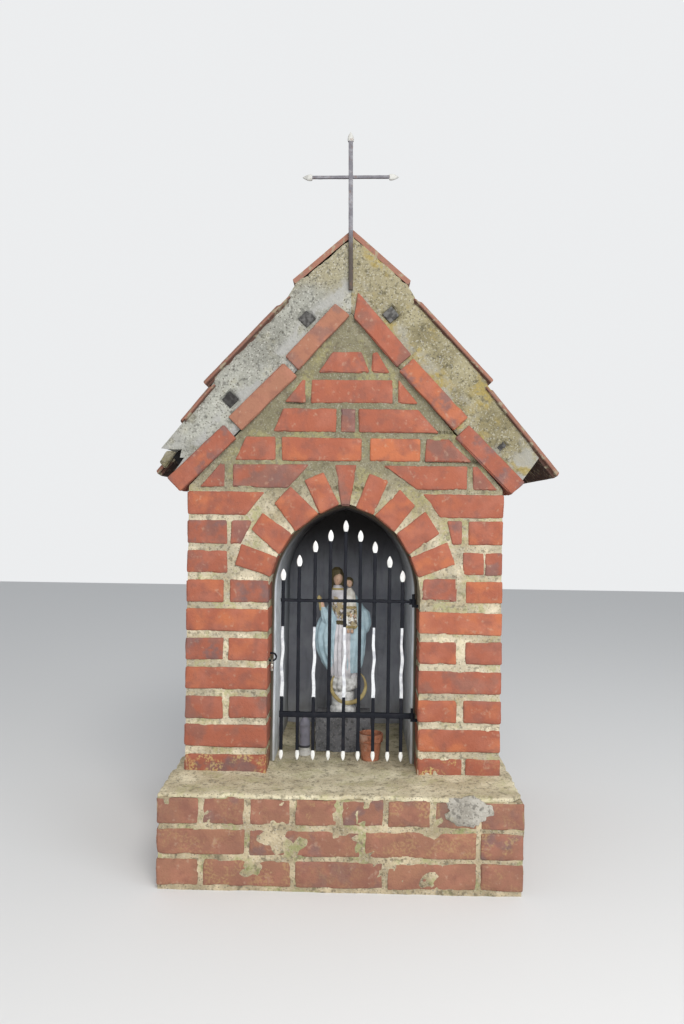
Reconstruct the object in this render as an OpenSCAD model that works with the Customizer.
/* [Brickwork] */
// Length of a brick
brick_l = 240; // [220:1:260]
// Width of a brick, and the thickness of the front and back walls
brick_w = 115; // [105:1:125]
// Height of a brick
brick_h = 71; // [60:1:75]
// Mortar joint between courses
joint_t = 12.3; // [8:0.1:15]
// Courses up to the eaves of the side walls
eaves_courses = 10; // [9:1:12]
// Courses of the front piers below the first arch brick
pier_courses = 7; // [6:1:8]

/* [Base] */
// Height of the base above the ground
plinth_h = 250; // [160:5:400]
// Ledge of the base in front of the body
front_ledge = 175; // [120:5:190]
// Ledge of the base at each side of the body
side_ledge = 36; // [25:1:60]
// Ledge of the base behind the body
back_ledge = 75; // [40:5:100]
// Mortar on the base, thickness at the edge
cap_edge_t = 12; // [8:1:14]
// Mortar on the base, thickness where it meets the brickwork
cap_wall_t = 20; // [16:1:30]

/* [Body] */
// Clear width of the opening between the piers
opening_w = 438; // [420:2:450]
// Depth of the brick body, front to back
body_d = 740; // [700:5:760]
// Rise of the gable above the eaves
gable_rise = 508; // [480:2:540]
// Roof and gable point stand this far right of the middle
roof_shift = 10; // [0:1:15]

/* [Arch] */
// Springing line, below the bed of the lowest arch bricks
spring_drop = 66; // [60:1:70]
// Radius of each half of the pointed arch
arch_r = 275; // [262:1:290]
// Arch bricks on each side of the key brick
arch_bricks_side = 4; // [3:1:4]
// Bed angle of the lowest arch brick
arch_low_angle = 14.2; // [14:0.1:16]
// Bed angle beside the key brick
arch_key_angle = 75; // [73:0.5:76]
// Height of the key brick
key_h = 111; // [90:1:125]
// Width of the key brick at its top
key_top_w = 57; // [50:1:64]
// Mortar lies this far back from the inner ends of the arch bricks
arch_recess = 2.5; // [1:0.5:4]

/* [Niche] */
// Thickness of the plaster on the sides and back
plaster_t = 12; // [8:1:18]
// Thickness of the mortar floor
floor_t = 12; // [8:1:16]

/* [Verge bricks] */
// Thickness of a verge brick
verge_t = 55; // [45:1:60]
// Length of a verge brick
verge_l = 233; // [220:1:236]
// Distance from one verge brick to the next
verge_pitch = 245; // [243:1:250]
// Mortar bed under the verge bricks
verge_bed = 6; // [4:0.5:9]
// Verge bricks stand this far out of the wall face
verge_proud = 12; // [6:1:16]
// Lowest verge brick runs this far past the wall corner
verge_over = 15; // [5:1:25]
// Upright joint at the gable point
verge_gap = 16; // [14:1:24]

/* [Roof] */
// Eaves tiles run this far past the wall corner, down the slope
eaves_over = 54; // [45:1:65]
// Tip of the eaves tiles above the gable line
eaves_rise = 146; // [144:1:152]
// Angle of the eaves tiles
low_tile_angle = 50.5; // [49.5:0.1:51.5]
// Angle of the upper tiles
top_tile_angle = 46.7; // [46:0.1:47.4]
// Length of a tile
tile_l = 400; // [390:1:404]
// Visible length of an eaves tile
tile_gauge = 328; // [322:1:334]
// Thickness of a tile
tile_t = 16; // [12:0.5:18]
// Cover width of one tile along the ridge
tile_w = 190; // [186:1:205]
// Tiles in one row, front to back
tiles_in_row = 4; // [4:1:4]
// Broken front tile on the left, length missing at the verge
broken_l = 190; // [120:5:220]
// Tiles stand this far out of the wall face at the front
tile_proud = 10; // [8:1:16]
// Height of the roll along the edge of a tile
roll_h = 9; // [5:0.5:12]
// Eaves tiles run this far past the mortar under them
eaves_reveal = 62; // [45:1:80]
// Mortar under the tiles stands this far out of the wall face
bed_proud = 4; // [2:0.5:8]
// Side of a square batten
batten_w = 36; // [30:1:40]
// Height of the batten middles above the gable line
batten_rise = 92; // [88:1:95]
// Battens on the left, measured down the slope from the gable point
battens_left_at = [91, 415, 640];
// Battens on the right, measured down the slope from the gable point
battens_right_at = [69, 577];

/* [Ridge] */
// Mortar between the wings of the ridge tiles and the tiles under them
ridge_bed = 9.2; // [7:0.1:12]
// Length of one wing of a ridge tile
wing_l = 228; // [210:1:235]
// Slope of a wing
wing_angle = 42.5; // [41:0.1:43.5]
// Thickness of a ridge tile
ridge_t = 15; // [12:0.5:17]
// Ridge tiles from front to back
ridge_tiles_n = 2; // [2:1:3]

/* [Cross] */
// Side of the square upright
cross_bar_t = 12; // [10:0.5:13]
// Thickness of the arm
cross_arm_t = 10; // [8:0.5:12]
// Foot of the upright above the gable point
cross_foot_up = 78; // [60:1:95]
// Arm above the ridge
cross_arm_up = 147; // [110:1:175]
// Length of the arm without its points
cross_arm_l = 226; // [200:2:250]
// Upright above the middle of the arm, without its point
cross_head_l = 105; // [80:1:120]
// Length of a point
cross_tip_l = 29; // [20:1:36]
// Width of a point
cross_tip_w = 18; // [14:1:22]
// Lean of the cross to the left
cross_lean = 0.8; // [0:0.1:1]

/* [Gate] */
// Bars of the gate
gate_bars_n = 9; // [7:2:9]
// Middle of the first bar, from the jamb at the latch
latch_bar_off = 37; // [35:1:42]
// Middle of the last bar, from the jamb at the hinges
hinge_bar_off = 45; // [41:1:50]
// Side of a square bar
bar_t = 10; // [8:0.5:11]
// Gate stands this far behind the wall face
gate_setback = 60; // [55:1:62]
// Upper rail, below the feet of the outermost spear points
rail_below_spears = 58; // [46:1:70]
// Lower rail above the niche floor
lower_rail_up = 161; // [140:1:180]
// Thickness of the upper rail
upper_rail_t = 8; // [6:0.5:10]
// Thickness of the lower rail
lower_rail_t = 15; // [10:0.5:16]
// Depth of both rails, front to back
rail_d = 16; // [14:0.5:16]
// Rails run this far past the last bar at the latch
rail_end = 10; // [8:1:14]
// Middle of the highest spear point, below the crown of the arch
spear_below = 64; // [58:1:80]
// Drop of the spear points from one bar to the next, outwards
spear_drops = [0, 29, 62, 105, 147];
// Length of a spear point
spear_l = 35; // [28:1:38]
// Width of a spear point
spear_w = 16; // [13:1:19]
// Thickness of a spear point
spear_t = 8; // [6:0.5:10]
// Foot points clear the niche floor by this much
foot_gap = 24; // [18:1:38]
// Length of a foot point
foot_l = 32; // [25:1:40]
// Lower end of the wavy stretch above the lower rail
wave_up = 52; // [40:1:65]
// Length of the wavy stretch
wave_l = 210; // [190:1:220]
// Width of the wavy bar
wave_w = 11; // [10:0.5:13]
// Depth of the waves to each side
wave_swing = 2; // [1:0.5:3]
// Waves in the stretch
waves_n = 2.5; // [2:0.5:3]

/* [Hinges and latch] */
// Hinge pin, distance from the jamb
hinge_off = 13.2; // [13:0.1:14]
// Radius of a hinge pin
pin_r = 4; // [3.5:0.1:4.2]
// Clearance round the hinge pin
pin_gap = 0.3; // [0.2:0.1:0.4]
// Wall of the hinge eye
eye_wall = 3.7; // [3.2:0.1:3.7]
// Height of a hinge eye
eye_h = 16; // [14:1:20]
// Height of a hinge pin above its arm
pin_h = 31; // [24:1:36]
// Arm of the hinge pin, length inside the brickwork
pin_root = 60; // [40:5:80]
// Latch staple above the niche floor
staple_up = 330; // [320:1:340]
// Legs of the staple, length inside the brickwork
staple_root = 30; // [20:5:50]
// Height of the staple, outside
staple_h = 27; // [24:1:30]
// Rod of the staple
staple_rod = 5; // [4:0.5:6]
// Staple stands this far out of the jamb
staple_out = 22; // [20:1:22]
// Height of the padlock body
lock_h = 20; // [16:1:24]
// Width of the padlock body, front to back
lock_w = 20; // [18:1:24]
// Radius of the padlock shackle, to the middle of its wire
shackle_r = 7; // [6:0.5:8]
// Thickness of the shackle wire
shackle_t = 3; // [2:0.5:4]
// Thickness of the padlock body
lock_t = 9; // [7:1:11]

/* [Statue] */
// Width of the block under the statue
block_w = 180; // [150:5:240]
// Depth of the block under the statue
block_d = 130; // [125:5:200]
// Height of the block under the statue
block_h = 115; // [90:1:125]
// Middle of the statue behind the wall face
statue_back = 300; // [280:5:340]
// Height of the statue with its own foot
statue_h = 473; // [440:1:480]

/* [Niche furnishings] */
// Diameter of the grave light
light_d = 42; // [36:1:50]
// Height of the grave light
light_h = 128; // [110:1:140]
// Grave light, left of the middle
light_left = 120; // [110:5:130]
// Grave light, behind the wall face
light_back = 203; // [190:1:230]
// Diameter of the flower pot at its rim
pot_d = 78; // [70:1:90]
// Height of the flower pot
pot_h = 82; // [70:1:90]
// Flower pot, right of the middle
pot_right = 86; // [80:1:110]
// Flower pot, behind the wall face
pot_back = 165; // [155:1:175]

/* [Hidden] */

$fn = 64;
seat = 0.3;
hair = 0.02;
roll_stop = 4;
bed_lap = 20;
ridge_joint = 2;
rail_stop = 4;
pot_wall = 5;

course_h = brick_h + joint_t;
body_w = opening_w + 2 * brick_l;
plinth_w = body_w + 2 * side_ledge;
plinth_d = front_ledge + body_d + back_ledge;
first_z = plinth_h + floor_t;
eaves_z = first_z + eaves_courses * course_h - joint_t;
pier_top_z = first_z + pier_courses * course_h;
gable_z = eaves_z + gable_rise;
front_y = front_ledge - plinth_d / 2;
back_y = front_y + body_d;
half_opening = opening_w / 2;
arch_off = arch_r - half_opening;
spring_z = pier_top_z - spring_drop;
crown_z = spring_z + sqrt(pow(arch_r, 2) - pow(arch_off, 2));
niche_d = body_d - 2 * brick_w;

tile_front_y = front_y - tile_proud;
roof_d = tiles_in_row * tile_w;
mean_rake = atan2(gable_rise, body_w / 2);
slope_l = norm([gable_rise, body_w / 2]) + eaves_over;
low_tip = [slope_l * cos(mean_rake) + eaves_rise * sin(mean_rake),
           gable_z - slope_l * sin(mean_rake) + eaves_rise * cos(mean_rake)];
low_dir = [cos(low_tile_angle), -sin(low_tile_angle)];
top_dir = [cos(top_tile_angle), -sin(top_tile_angle)];
top_out = [sin(top_tile_angle), cos(top_tile_angle)];
low_head = low_tip - tile_l * low_dir;
top_tip = low_head + (tile_l - tile_gauge) * top_dir + tile_t * top_out;
wing_x = wing_l * cos(wing_angle);
ridge_z = top_tip[1] + (top_tip[0] - wing_x) * tan(top_tile_angle) + ridge_bed
    + ridge_t / cos(wing_angle) + wing_x * tan(wing_angle);
wing_end = [wing_x, ridge_z - wing_x * tan(wing_angle)];
cross_foot_z = gable_z + cross_foot_up;
cross_arm_z = ridge_z + cross_arm_up;

gate_y = front_y + gate_setback;
hinge_x = half_opening - hinge_off;
eye_r = pin_r + pin_gap + eye_wall;
rail_x1 = hinge_x - eye_r - rail_stop;
gate_mid_i = (gate_bars_n - 1) / 2;
gate_pitch = (opening_w - latch_bar_off - hinge_bar_off) / (gate_bars_n - 1);
floor_z = plinth_h + floor_t;
lower_rail_z = floor_z + lower_rail_up;
foot_z = floor_z + foot_gap;
wave_low_z = lower_rail_z + wave_up;
staple_z = floor_z + staple_up;
spear_mid_z = crown_z - spear_below;
upper_rail_z = spear_z(0) - rail_below_spears;
block_y = front_y + statue_back;

plaster_c = [0.66, 0.67, 0.68];
brick_c = [0.72, 0.38, 0.29];
mortar_c = [0.74, 0.68, 0.56];
tile_c = [0.70, 0.42, 0.32];
iron_c = [0.10, 0.11, 0.13];
white_c = [0.92, 0.92, 0.90];

function rake(side) = atan2(gable_rise, body_w / 2 - side * roof_shift);
function rake_l(side) = norm([gable_rise, body_w / 2 - side * roof_shift]);
function bar_x(i) = -half_opening + latch_bar_off + i * gate_pitch;
function spear_z(i) = spear_mid_z - spear_drops[abs(i - gate_mid_i)] - spear_l / 2;
function is_wavy(i) = i % 2 == 0;

// Draws its flat children upright, x across and y up, from one depth to another
module upright(y0, y1) {
    translate([0, y1, 0]) rotate([90, 0, 0]) linear_extrude(height = y1 - y0) children();
}

// The pointed opening, widened all round by grow
module opening_shape(grow = 0) {
    w = half_opening + grow;
    r = arch_r + grow;
    translate([-w, 0]) square([2 * w, spring_z]);
    intersection() {
        translate([-arch_off, spring_z]) circle(r = r, $fn = 128);
        translate([arch_off, spring_z]) circle(r = r, $fn = 128);
        translate([-w, spring_z]) square([2 * w, r]);
    }
}

module gable_shape(from_z) {
    half = body_w / 2;
    translate([-half, from_z]) square([body_w, eaves_z - from_z]);
    polygon([[-half, eaves_z], [half, eaves_z], [roof_shift, gable_z]]);
}

// Slope frame: x runs down the gable line from its point, y stands out of it
module slope(side) {
    translate([roof_shift, gable_z]) mirror([side < 0 ? 1 : 0, 0]) rotate(-rake(side)) children();
}

module voussoirs_shape() {
    step = (arch_key_angle - arch_low_angle) / arch_bricks_side;
    for (side = [-1, 1], i = [0 : arch_bricks_side - 1])
        mirror([side < 0 ? 1 : 0, 0])
            translate([-arch_off, spring_z]) rotate(arch_low_angle + (i + 0.5) * step)
                translate([arch_r, -brick_h / 2]) square([brick_w, brick_h]);
    key_shape();
}

module key_shape() {
    low_w = 2 * (arch_r * cos(arch_key_angle) - arch_off) - 2 * arch_recess;
    low_z = spring_z + arch_r * sin(arch_key_angle);
    polygon([[-low_w / 2, low_z], [low_w / 2, low_z],
             [key_top_w / 2, low_z + key_h], [-key_top_w / 2, low_z + key_h]]);
}

// Three verge bricks on one slope, each turned a little flatter than the one above
module verge_shape(side) {
    kicks = [0, 2, 3.5];
    end = rake_l(side) + verge_over;
    intersection() {
        slope(side)
            for (i = [0 : 2])
                translate([end - verge_l / 2 - (2 - i) * verge_pitch, verge_bed + verge_t / 2])
                    rotate(kicks[i]) square([verge_l, verge_t], center = true);
        translate([roof_shift + (side > 0 ? verge_gap / 2 : -verge_gap / 2 - body_w), 0])
            square([body_w, ridge_z]);
    }
}

module roof_side(side) {
    translate([roof_shift, 0]) mirror([side < 0 ? 1 : 0, 0]) children();
}

module low_tile_shape() {
    translate(low_tip) rotate(180 - low_tile_angle) square([tile_l, tile_t]);
}

module top_tile_shape() {
    translate(top_tip) rotate(180 - top_tile_angle) square([tile_l, tile_t]);
}

// Half of the mortar section under the tiles, from the gable line up to them
module bed_shape(side) {
    half = rake_l(side) + verge_over;
    foot = [half * cos(rake(side)), gable_z - half * sin(rake(side))];
    low_mid = low_tip - tile_t / 2 * [sin(low_tile_angle), cos(low_tile_angle)];
    top_mid = top_tip - tile_t / 2 * top_out;
    reveal = low_mid - eaves_reveal / cos(low_tile_angle) * low_dir;
    lap = low_mid - (tile_gauge + bed_lap) * low_dir;
    under_wing = top_mid - (top_tip[0] - wing_end[0]) / cos(top_tile_angle) * top_dir;
    difference() {
        roof_side(side)
            polygon([[0, gable_z + hair], foot + [0, hair],
                     foot + [verge_t * sin(rake(side)), verge_t * cos(rake(side))],
                     reveal, lap, top_mid - (tile_l - tile_gauge + bed_lap) * top_dir, under_wing,
                     [wing_end[0] - ridge_t, wing_end[1] + 0.5 * ridge_t],
                     [0, ridge_z]]);
        roof_side(side) top_tile_shape();
        roof_side(side) low_tile_shape();
        ridge_shape();
    }
}

module ridge_shape() {
    translate([roof_shift, ridge_z]) {
        rotate(-wing_angle) translate([0, -ridge_t]) square([wing_l, ridge_t]);
        rotate(180 + wing_angle) square([wing_l, ridge_t]);
        polygon([[0, 0], [-ridge_t * sin(wing_angle), -ridge_t * cos(wing_angle)],
                 [0, -ridge_t / cos(wing_angle)],
                 [ridge_t * sin(wing_angle), -ridge_t * cos(wing_angle)]]);
    }
}

module battens_shape(side, places) {
    slope(side)
        for (at = places)
            translate([at, batten_rise]) square(batten_w, center = true);
}

module plinth() {
    color(mortar_c)
        translate([-plinth_w / 2, -plinth_d / 2, 0]) cube([plinth_w, plinth_d, plinth_h]);
}

module plinth_cap() {
    color(mortar_c) difference() {
        hull() {
            translate([-plinth_w / 2, -plinth_d / 2, plinth_h]) cube([plinth_w, plinth_d, cap_edge_t]);
            translate([-body_w / 2, front_y, plinth_h]) cube([body_w, body_d, cap_wall_t]);
        }
        translate([-body_w / 2, front_y, plinth_h - 1]) cube([body_w, body_d, cap_wall_t + 2]);
    }
}

module pier(side) {
    color(brick_c) difference() {
        upright(front_y, front_y + brick_w)
            difference() {
                translate([side > 0 ? half_opening : -body_w / 2, plinth_h])
                    square([brick_l, pier_top_z - plinth_h]);
                opening_shape();
            }
        if (side > 0) for (z = [upper_rail_z, lower_rail_z]) pin_arm(z);
        if (side < 0) staple_legs();
    }
}

module left_pier() { pier(-1); }

module right_pier() { pier(1); }

module gable_front() {
    color(brick_c) difference() {
        upright(front_y, front_y + brick_w)
            difference() {
                gable_shape(pier_top_z);
                opening_shape(arch_recess);
                voussoirs_shape();
            }
        verge(-1, front_y - verge_proud);
        verge(1, front_y - verge_proud);
    }
}

module arch_bricks() {
    color(brick_c) upright(front_y, front_y + brick_w) voussoirs_shape();
}

module side_wall(side) {
    color(brick_c)
        translate([side > 0 ? half_opening : -body_w / 2, front_y + brick_w, plinth_h])
            cube([brick_l, niche_d, eaves_z - plinth_h]);
}

module left_wall() { side_wall(-1); }

module right_wall() { side_wall(1); }

module back_wall() {
    color(brick_c) difference() {
        upright(back_y - brick_w, back_y) gable_shape(plinth_h);
        verge(-1, back_y + verge_proud - brick_w);
        verge(1, back_y + verge_proud - brick_w);
    }
}

module niche_floor() {
    color(plaster_c)
        translate([-half_opening, front_y, plinth_h]) cube([opening_w, body_d - brick_w, floor_t]);
}

module niche_plaster(side) {
    color(plaster_c)
        translate([side > 0 ? half_opening - plaster_t : -half_opening, front_y + brick_w, floor_z])
            cube([plaster_t, niche_d, spring_z - floor_z]);
}

module niche_plaster_left() { niche_plaster(-1); }

module niche_plaster_right() { niche_plaster(1); }

module niche_plaster_back() {
    color(plaster_c)
        upright(back_y - brick_w - plaster_t, back_y - brick_w)
            intersection() {
                opening_shape(-plaster_t);
                translate([-half_opening, floor_z]) square([opening_w, eaves_z]);
            }
}

module niche_vault() {
    color(plaster_c)
        upright(front_y + brick_w, back_y - brick_w)
            difference() {
                translate([-half_opening, spring_z]) square([opening_w, eaves_z - spring_z]);
                opening_shape(-plaster_t);
            }
}

module verge(side, y0) {
    color(brick_c) upright(y0, y0 + brick_w) verge_shape(side);
}

module verge_bricks_left() { verge(-1, front_y - verge_proud); }

module verge_bricks_right() { verge(1, front_y - verge_proud); }

module verge_bricks_back() {
    for (side = [-1, 1]) verge(side, back_y + verge_proud - brick_w);
}

module roof_bed(side) {
    color(mortar_c) difference() {
        upright(front_y - bed_proud, back_y + bed_proud)
            difference() {
                bed_shape(side);
                battens_shape(-1, battens_left_at);
                battens_shape(1, battens_right_at);
            }
        verge(side, front_y - verge_proud);
        verge(side, back_y + verge_proud - brick_w);
        cross_bar_solid();
    }
}

module roof_bed_left() { roof_bed(-1); }

module roof_bed_right() { roof_bed(1); }

module battens() {
    color([0.20, 0.16, 0.13])
        upright(front_y - bed_proud, back_y + bed_proud) {
            battens_shape(-1, battens_left_at);
            battens_shape(1, battens_right_at);
        }
}

// Tile frame: x runs up the slope from the lower edge, y to the back, z down into the roof
module tile_frame(side, tip, angle) {
    translate([roof_shift, tile_front_y, 0]) mirror([side < 0 ? 1 : 0, 0, 0])
        translate([tip[0], 0, tip[1]]) rotate([0, angle - 180, 0]) children();
}

// One row of tiles, with a roll along the front edge of every tile
module tile_row() {
    cube([tile_l, roof_d, tile_t]);
    for (i = [0 : tiles_in_row - 1])
        translate([0, i * tile_w + 2 * roll_h, 0]) rotate([0, 90, 0])
            cylinder(r = roll_h, h = tile_gauge - roll_stop, $fn = 32);
}

module tiles_left_lower() {
    color(tile_c) tile_frame(-1, low_tip, low_tile_angle)
        difference() {
            tile_row();
            translate([0, 0, -2 * roll_h]) linear_extrude(height = 2 * roll_h + 2 * tile_t)
                polygon([[-1, -1], [broken_l, -1], [0.86 * broken_l, tile_w * 0.35],
                         [0.9 * broken_l, tile_w * 0.6], [0.72 * broken_l, tile_w], [-1, tile_w]]);
        }
}

module tiles_left_upper() {
    color(tile_c) tile_frame(-1, top_tip, top_tile_angle) tile_row();
}

module tiles_right_lower() {
    color(tile_c) tile_frame(1, low_tip, low_tile_angle) tile_row();
}

module tiles_right_upper() {
    color(tile_c) tile_frame(1, top_tip, top_tile_angle) tile_row();
}

module ridge_tiles() {
    color(tile_c)
        for (i = [0 : ridge_tiles_n - 1])
            upright(front_y + i * body_d / ridge_tiles_n,
                    front_y + (i + 1) * body_d / ridge_tiles_n - (i + 1 < ridge_tiles_n ? ridge_joint : 0))
                ridge_shape();
}

module cross_frame() {
    translate([roof_shift - 2, front_y - cross_bar_t / 2 - 1, cross_foot_z])
        rotate([0, -cross_lean, 0]) children();
}

module cross_bar_solid() {
    cross_frame()
        translate([-cross_bar_t / 2, -cross_bar_t / 2, 0])
            cube([cross_bar_t, cross_bar_t, cross_arm_z + cross_head_l - cross_foot_z]);
}

// The arm is let into the front of the upright, half of its thickness deep
module cross_upright() {
    color(iron_c) difference() {
        cross_bar_solid();
        cross_frame()
            translate([-cross_bar_t, -cross_bar_t, cross_arm_z - cross_foot_z - cross_arm_t / 2])
                cube([2 * cross_bar_t, cross_bar_t, cross_arm_t]);
    }
}

module cross_arm() {
    color(iron_c) cross_frame() difference() {
        translate([-cross_arm_l / 2, -cross_arm_t / 2, cross_arm_z - cross_foot_z - cross_arm_t / 2])
            cube([cross_arm_l, cross_arm_t, cross_arm_t]);
        translate([-cross_bar_t / 2, 0, cross_arm_z - cross_foot_z - cross_arm_t])
            cube([cross_bar_t, cross_arm_t, 2 * cross_arm_t]);
    }
}

// Flat leaf-shaped point standing on the origin, with a bevelled blade
module spear(w, l, t, root) {
    steps = 8;
    half = [for (k = [0 : steps]) [root / 2 + (w - root) / 2 * sin(180 * pow(k / steps, 0.8)), l * k / steps]];
    blade = [for (k = [0 : steps]) k < steps / 2 ? half[k]
             : [half[k][0] * (1 - pow((k - steps / 2) / (steps / 2), 1.5)), half[k][1]]];
    thick = [for (k = [0 : steps]) t / 2 * (1 - 0.75 * pow(k / steps, 2))];
    intersection() {
        translate([0, t / 2, 0]) rotate([90, 0, 0]) linear_extrude(height = t)
            polygon(concat(blade, [for (k = [steps - 1 : -1 : 0]) [-blade[k][0], blade[k][1]]]));
        translate([-w, 0, 0]) rotate([90, 0, 90]) linear_extrude(height = 2 * w)
            polygon(concat([for (k = [0 : steps]) [thick[k], l * k / steps]],
                           [for (k = [steps : -1 : 0]) [-thick[k], l * k / steps]]));
    }
}

module cross_tips() {
    color(white_c) cross_frame() {
        translate([0, 0, cross_arm_z + cross_head_l - cross_foot_z])
            spear(cross_tip_w, cross_tip_l, cross_bar_t, cross_bar_t);
        for (side = [-1, 1])
            translate([side * cross_arm_l / 2, 0, cross_arm_z - cross_foot_z])
                rotate([0, side * 90, 0]) spear(cross_tip_w, cross_tip_l, cross_arm_t, cross_arm_t);
    }
}

// Square arm of a hinge pin under an eye, let into the brickwork
module pin_arm(rail_z) {
    top = rail_z - eye_h / 2 - seat;
    translate([hinge_x, gate_y - pin_r, top - 2 * pin_r])
        cube([hinge_off + pin_root, 2 * pin_r, 2 * pin_r]);
}

module hinge_pin(rail_z) {
    top = rail_z - eye_h / 2 - seat;
    color(iron_c) {
        pin_arm(rail_z);
        translate([hinge_x, gate_y, top - 2 * pin_r]) cylinder(r = pin_r, h = 2 * pin_r + pin_h);
    }
}

module hinge_pin_upper() { hinge_pin(upper_rail_z); }

module hinge_pin_lower() { hinge_pin(lower_rail_z); }

module staple_legs() {
    for (side = [-1, 1])
        translate([-half_opening - staple_root, gate_y - staple_rod / 2,
                   staple_z + side * (staple_h - staple_rod) / 2 - staple_rod / 2])
            cube([staple_root + staple_out - staple_h / 2, staple_rod, staple_rod]);
}

module latch_staple() {
    color(iron_c) {
        staple_legs();
        translate([-half_opening + staple_out - staple_h / 2, gate_y, staple_z])
            rotate([90, 0, 0]) linear_extrude(height = staple_rod, center = true)
                intersection() {
                    difference() {
                        circle(d = staple_h);
                        circle(d = staple_h - 2 * staple_rod);
                    }
                    translate([0, -staple_h]) square([staple_h, 2 * staple_h]);
                }
    }
}

// Hangs open on the lower leg of the staple
module padlock() {
    x = -half_opening + staple_out - staple_h / 2 - 1;
    leg_top = staple_z - staple_h / 2 + staple_rod;
    ring_z = leg_top + seat - shackle_r + shackle_t / 2;
    color([0.78, 0.76, 0.70]) {
        translate([x - lock_t / 2, gate_y - lock_w / 2, ring_z - shackle_r - lock_h])
            cube([lock_t, lock_w, lock_h]);
        translate([x, gate_y, ring_z]) {
            rotate([90, 0, 90]) rotate_extrude(angle = 180)
                translate([shackle_r, 0]) circle(d = shackle_t, $fn = 24);
            for (side = [-1, 1])
                translate([0, side * shackle_r, -shackle_r]) cylinder(d = shackle_t, h = shackle_r, $fn = 24);
        }
    }
}

module gate_bar_solid(i) {
    top = spear_z(i);
    low = foot_z + foot_l;
    translate([bar_x(i) - bar_t / 2, gate_y - bar_t / 2, low])
        cube([bar_t, bar_t, top - low]);
}

module gate_rails() {
    x0 = bar_x(0) - bar_t / 2 - rail_end;
    color(iron_c) difference() {
        for (rail = [[upper_rail_z, upper_rail_t], [lower_rail_z, lower_rail_t]])
            translate([x0, gate_y - rail_d / 2, rail[0] - rail[1] / 2])
                cube([rail_x1 - x0, rail_d, rail[1]]);
        for (i = [0 : gate_bars_n - 1]) gate_bar_solid(i);
    }
}

module gate_bars() {
    color(iron_c)
        for (i = [0 : gate_bars_n - 1])
            difference() {
                gate_bar_solid(i);
                if (is_wavy(i))
                    translate([bar_x(i) - bar_t, gate_y - bar_t, wave_low_z])
                        cube([2 * bar_t, 2 * bar_t, wave_l]);
            }
}

// Bar hammered into waves, drawn flat and pulled to its thickness
module wavy_bar(x) {
    steps = 24;
    mid = [for (k = [0 : steps]) wave_swing * sin(360 * waves_n * k / steps) * sin(180 * k / steps)];
    translate([x, gate_y + bar_t / 2, wave_low_z]) rotate([90, 0, 0]) linear_extrude(height = bar_t)
        polygon(concat([for (k = [0 : steps]) [mid[k] + wave_w / 2, wave_l * k / steps]],
                       [for (k = [steps : -1 : 0]) [mid[k] - wave_w / 2, wave_l * k / steps]]));
}

module gate_wavy_bars() {
    color(white_c)
        for (i = [0 : gate_bars_n - 1])
            if (is_wavy(i)) wavy_bar(bar_x(i));
}

module gate_spear_tips() {
    color(white_c)
        for (i = [0 : gate_bars_n - 1])
            translate([bar_x(i), gate_y, spear_z(i)]) spear(spear_w, spear_l, spear_t, bar_t - 2);
}

module gate_foot_tips() {
    color(white_c)
        for (i = [0 : gate_bars_n - 1])
            translate([bar_x(i), gate_y, foot_z + foot_l]) mirror([0, 0, 1])
                spear(bar_t + 2, foot_l, bar_t - 1, bar_t - 1);
}

module gate_hinge_eyes() {
    color(iron_c)
        for (z = [upper_rail_z, lower_rail_z])
            difference() {
                union() {
                    translate([hinge_x, gate_y, z - eye_h / 2]) cylinder(r = eye_r, h = eye_h);
                    translate([rail_x1, gate_y - pin_r, z - eye_h / 2])
                        cube([hinge_x - rail_x1, 2 * pin_r, eye_h]);
                }
                translate([hinge_x, gate_y, z - eye_h]) cylinder(r = pin_r + pin_gap, h = 2 * eye_h);
            }
}

module statue_block() {
    color(plaster_c)
        translate([-block_w / 2, block_y - block_d / 2, floor_z]) cube([block_w, block_d, block_h]);
}

// Closed loft through rings of [height, half width, half depth, middle x, middle y, folds]
module loft(rings, n = 28) {
    count = len(rings);
    points = [for (r = rings, k = [0 : n - 1])
        let (a = 360 * k / n, f = 1 + r[5] * cos(9 * a))
            [r[3] + r[1] * f * cos(a), r[4] + r[2] * f * sin(a), r[0]]];
    sides = [for (j = [0 : count - 2], k = [0 : n - 1])
        let (a = j * n + k, b = j * n + (k + 1) % n)
            [a, a + n, b + n, b]];
    polyhedron(points = points, faces = concat(sides,
        [[for (k = [0 : n - 1]) k]], [[for (k = [n - 1 : -1 : 0]) (count - 1) * n + k]]));
}

// The rings are shares of the statue's height
module statue() {
    color([0.85, 0.82, 0.78]) translate([0, block_y, floor_z + block_h]) scale(statue_h) {
        figure();
        child();
        crescent();
    }
}

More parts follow.
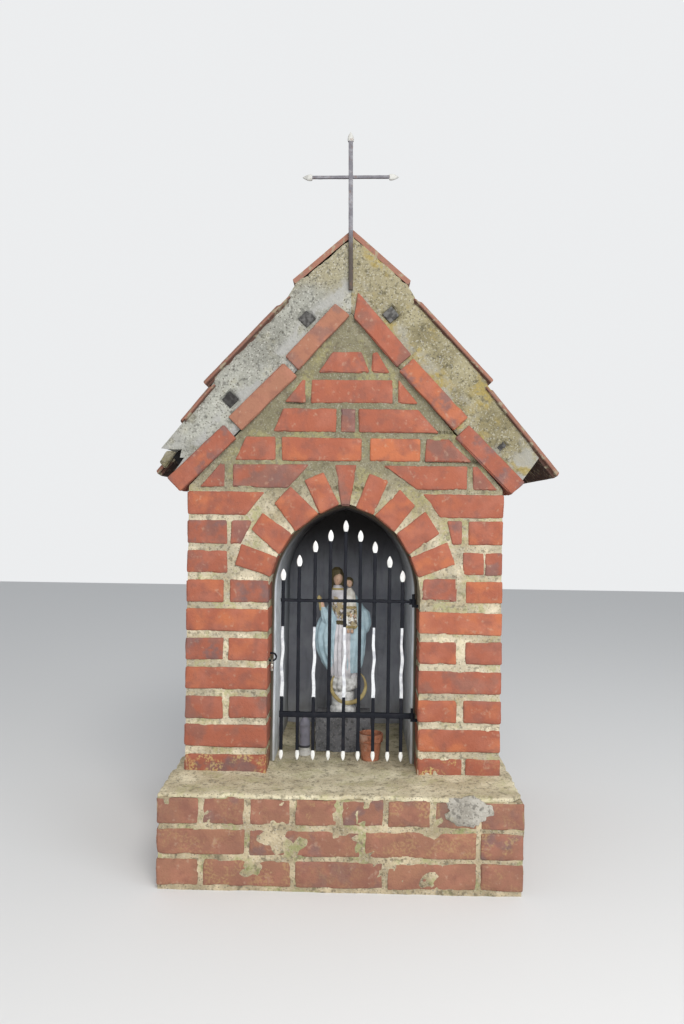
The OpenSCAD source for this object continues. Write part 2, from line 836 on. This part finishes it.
// Foot, gown, mantle, shoulders and head
module figure() {
    loft([[0, 0.091, 0.085, -0.005, 0, 0], [0.03, 0.091, 0.085, -0.005, 0, 0],
          [0.045, 0.078, 0.072, -0.005, 0, 0], [0.14, 0.080, 0.076, -0.005, 0, 0],
          [0.17, 0.098, 0.084, 0, 0, 0.02], [0.25, 0.105, 0.088, 0.005, 0, 0.04],
          [0.27, 0.136, 0.098, 0.006, 0, 0.05], [0.34, 0.156, 0.102, -0.010, 0, 0.05],
          [0.45, 0.166, 0.100, -0.017, 0, 0.04], [0.50, 0.171, 0.098, -0.012, 0, 0.03],
          [0.60, 0.174, 0.092, 0.003, 0, 0.03], [0.65, 0.170, 0.088, 0.008, 0, 0.02],
          [0.72, 0.152, 0.080, -0.006, 0, 0.01], [0.78, 0.115, 0.068, -0.020, 0, 0],
          [0.83, 0.072, 0.052, -0.038, 0, 0], [0.858, 0.040, 0.040, -0.050, 0, 0],
          [0.885, 0.042, 0.048, -0.055, 0, 0], [0.92, 0.047, 0.054, -0.058, 0, 0],
          [0.96, 0.042, 0.048, -0.058, 0, 0], [0.99, 0.024, 0.026, -0.058, 0, 0],
          [1, 0.008, 0.010, -0.058, 0, 0]], 36);
}

// Sits on the arm at the right, a little in front of the figure
module child() {
    loft([[0.53, 0.024, 0.024, 0.048, -0.075, 0], [0.57, 0.048, 0.040, 0.046, -0.075, 0],
          [0.68, 0.050, 0.042, 0.045, -0.073, 0], [0.78, 0.042, 0.036, 0.042, -0.068, 0],
          [0.835, 0.028, 0.026, 0.036, -0.062, 0], [0.855, 0.014, 0.016, 0.033, -0.060, 0],
          [0.875, 0.023, 0.025, 0.032, -0.060, 0], [0.905, 0.022, 0.024, 0.032, -0.060, 0],
          [0.922, 0.010, 0.012, 0.032, -0.060, 0]], 24);
}

// Crescent moon across the front of the foot
module crescent() {
    outer = 0.135;
    inner = 0.118;
    translate([0.032, -0.064, 0.19]) rotate([90, 0, 0]) linear_extrude(height = 0.028)
        difference() {
            circle(r = outer);
            translate([0, 0.030]) circle(r = inner);
        }
}

// Widths and heights are shares of the diameter and the height
module grave_light() {
    profile = [[0, 0], [0.50, 0], [0.50, 0.07], [0.40, 0.12], [0.40, 0.16], [0.47, 0.18], [0.47, 0.70],
               [0.50, 0.72], [0.50, 0.76], [0.40, 0.84], [0.22, 0.90], [0.22, 0.94], [0.12, 0.96], [0.12, 1], [0, 1]];
    color([0.55, 0.55, 0.56]) translate([-light_left, front_y + light_back, floor_z])
        rotate_extrude() polygon([for (p = profile) [p[0] * light_d, p[1] * light_h]]);
}

module flower_pot() {
    color([0.66, 0.36, 0.25]) translate([pot_right, front_y + pot_back, floor_z])
        rotate_extrude()
            polygon([[0, 0], [pot_d * 0.36, 0], [pot_d * 0.46, pot_h * 0.75], [pot_d / 2, pot_h * 0.75],
                     [pot_d / 2, pot_h], [pot_d / 2 - pot_wall, pot_h],
                     [pot_d * 0.36 - pot_wall, pot_wall], [0, pot_wall]]);
}

plinth();
plinth_cap();
left_pier();
right_pier();
gable_front();
arch_bricks();
left_wall();
right_wall();
back_wall();
niche_floor();
niche_plaster_left();
niche_plaster_right();
niche_plaster_back();
niche_vault();
verge_bricks_left();
verge_bricks_right();
verge_bricks_back();
roof_bed_left();
roof_bed_right();
battens();
tiles_left_lower();
tiles_left_upper();
tiles_right_lower();
tiles_right_upper();
ridge_tiles();
cross_upright();
cross_arm();
cross_tips();
hinge_pin_upper();
hinge_pin_lower();
latch_staple();
padlock();
gate_rails();
gate_bars();
gate_wavy_bars();
gate_spear_tips();
gate_foot_tips();
gate_hinge_eyes();
statue_block();
statue();
grave_light();
flower_pot();
